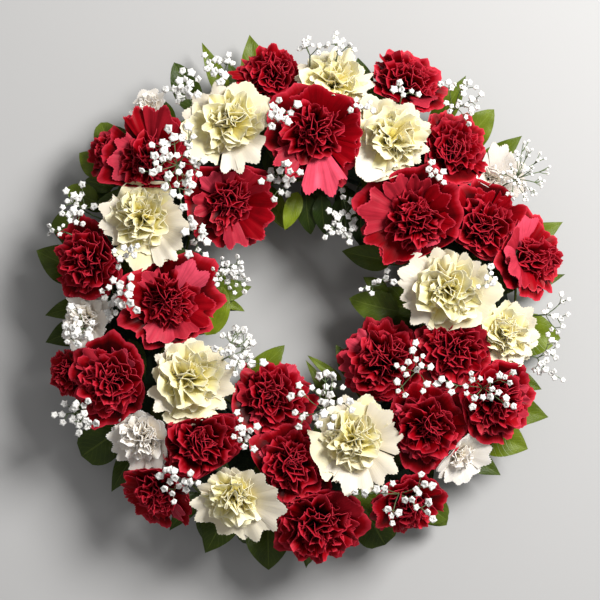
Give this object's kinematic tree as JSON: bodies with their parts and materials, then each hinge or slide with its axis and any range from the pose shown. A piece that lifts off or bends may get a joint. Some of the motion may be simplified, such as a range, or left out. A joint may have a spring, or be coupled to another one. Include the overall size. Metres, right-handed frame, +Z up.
{
  "type": "wreath",
  "caption": "Round funeral wreath of crimson, cream and white carnations with glossy leaves and sprays of gypsophila, packed on a ring of wet floral foam in a shallow plastic tray.",
  "frame": {"origin": "on the ring's axis, at the surface that the tray stands on", "axes": "+Z up through the hole, +X to the right and +Y to the top as seen from above"},
  "size_m": [0.451, 0.4571, 0.1209],
  "materials": {
    "tray": "dull dark green plastic",
    "foam": "wet dark green floral foam, matte and finely porous",
    "crimson_petals": "velvety crimson petals with paler pink sheen at the rims",
    "cream_petals": "soft cream petals, yellow-green toward the heart",
    "white_petals": "soft white petals with a faint lilac-pink shade",
    "foliage": "glossy green leaves with pale veins",
    "gypsophila": "tiny matte white flowers on thin green stems"
  },
  "bodies": {
    "root": {"base_tray": "tray", "carnation_cream_01": "cream_petals", "carnation_cream_02": "cream_petals", "carnation_cream_03": "cream_petals", "carnation_cream_04": "cream_petals", "carnation_cream_05": "cream_petals", "carnation_cream_06": "cream_petals", "carnation_cream_07": "cream_petals", "carnation_cream_08": "cream_petals", "carnation_cream_09": "cream_petals", "carnation_crimson_01": "crimson_petals", "carnation_crimson_02": "crimson_petals", "carnation_crimson_03": "crimson_petals", "carnation_crimson_04": "crimson_petals", "carnation_crimson_05": "crimson_petals", "carnation_crimson_06": "crimson_petals", "carnation_crimson_07": "crimson_petals", "carnation_crimson_08": "crimson_petals", "carnation_crimson_09": "crimson_petals", "carnation_crimson_10": "crimson_petals", "carnation_crimson_11": "crimson_petals", "carnation_crimson_12": "crimson_petals", "carnation_crimson_13": "crimson_petals", "carnation_crimson_14": "crimson_petals", "carnation_crimson_15": "crimson_petals", "carnation_crimson_16": "crimson_petals", "carnation_crimson_17": "crimson_petals", "carnation_crimson_18": "crimson_petals", "carnation_crimson_19": "crimson_petals", "carnation_crimson_20": "crimson_petals", "carnation_crimson_21": "crimson_petals", "carnation_crimson_22": "crimson_petals", "carnation_crimson_23": "crimson_petals", "carnation_crimson_24": "crimson_petals", "carnation_white_01": "white_petals", "carnation_white_02": "white_petals", "carnation_white_03": "white_petals", "carnation_white_04": "white_petals", "carnation_white_05": "white_petals", "foam_ring": "foam", "gypsophila_spray_01": "gypsophila", "gypsophila_spray_02": "gypsophila", "gypsophila_spray_03": "gypsophila", "gypsophila_spray_04": "gypsophila", "gypsophila_spray_05": "gypsophila", "gypsophila_spray_06": "gypsophila", "leaf_sprig_inner_01": "foliage", "leaf_sprig_inner_02": "foliage", "leaf_sprig_inner_03": "foliage", "leaf_sprig_inner_04": "foliage", "leaf_sprig_outer_01": "foliage", "leaf_sprig_outer_02": "foliage", "leaf_sprig_outer_03": "foliage", "leaf_sprig_outer_04": "foliage", "leaf_sprig_outer_05": "foliage", "leaf_sprig_outer_06": "foliage", "leaf_sprig_outer_07": "foliage", "leaf_sprig_outer_08": "foliage", "leaf_sprig_outer_09": "foliage", "leaf_sprig_outer_10": "foliage"}
  },
  "joints": []
}
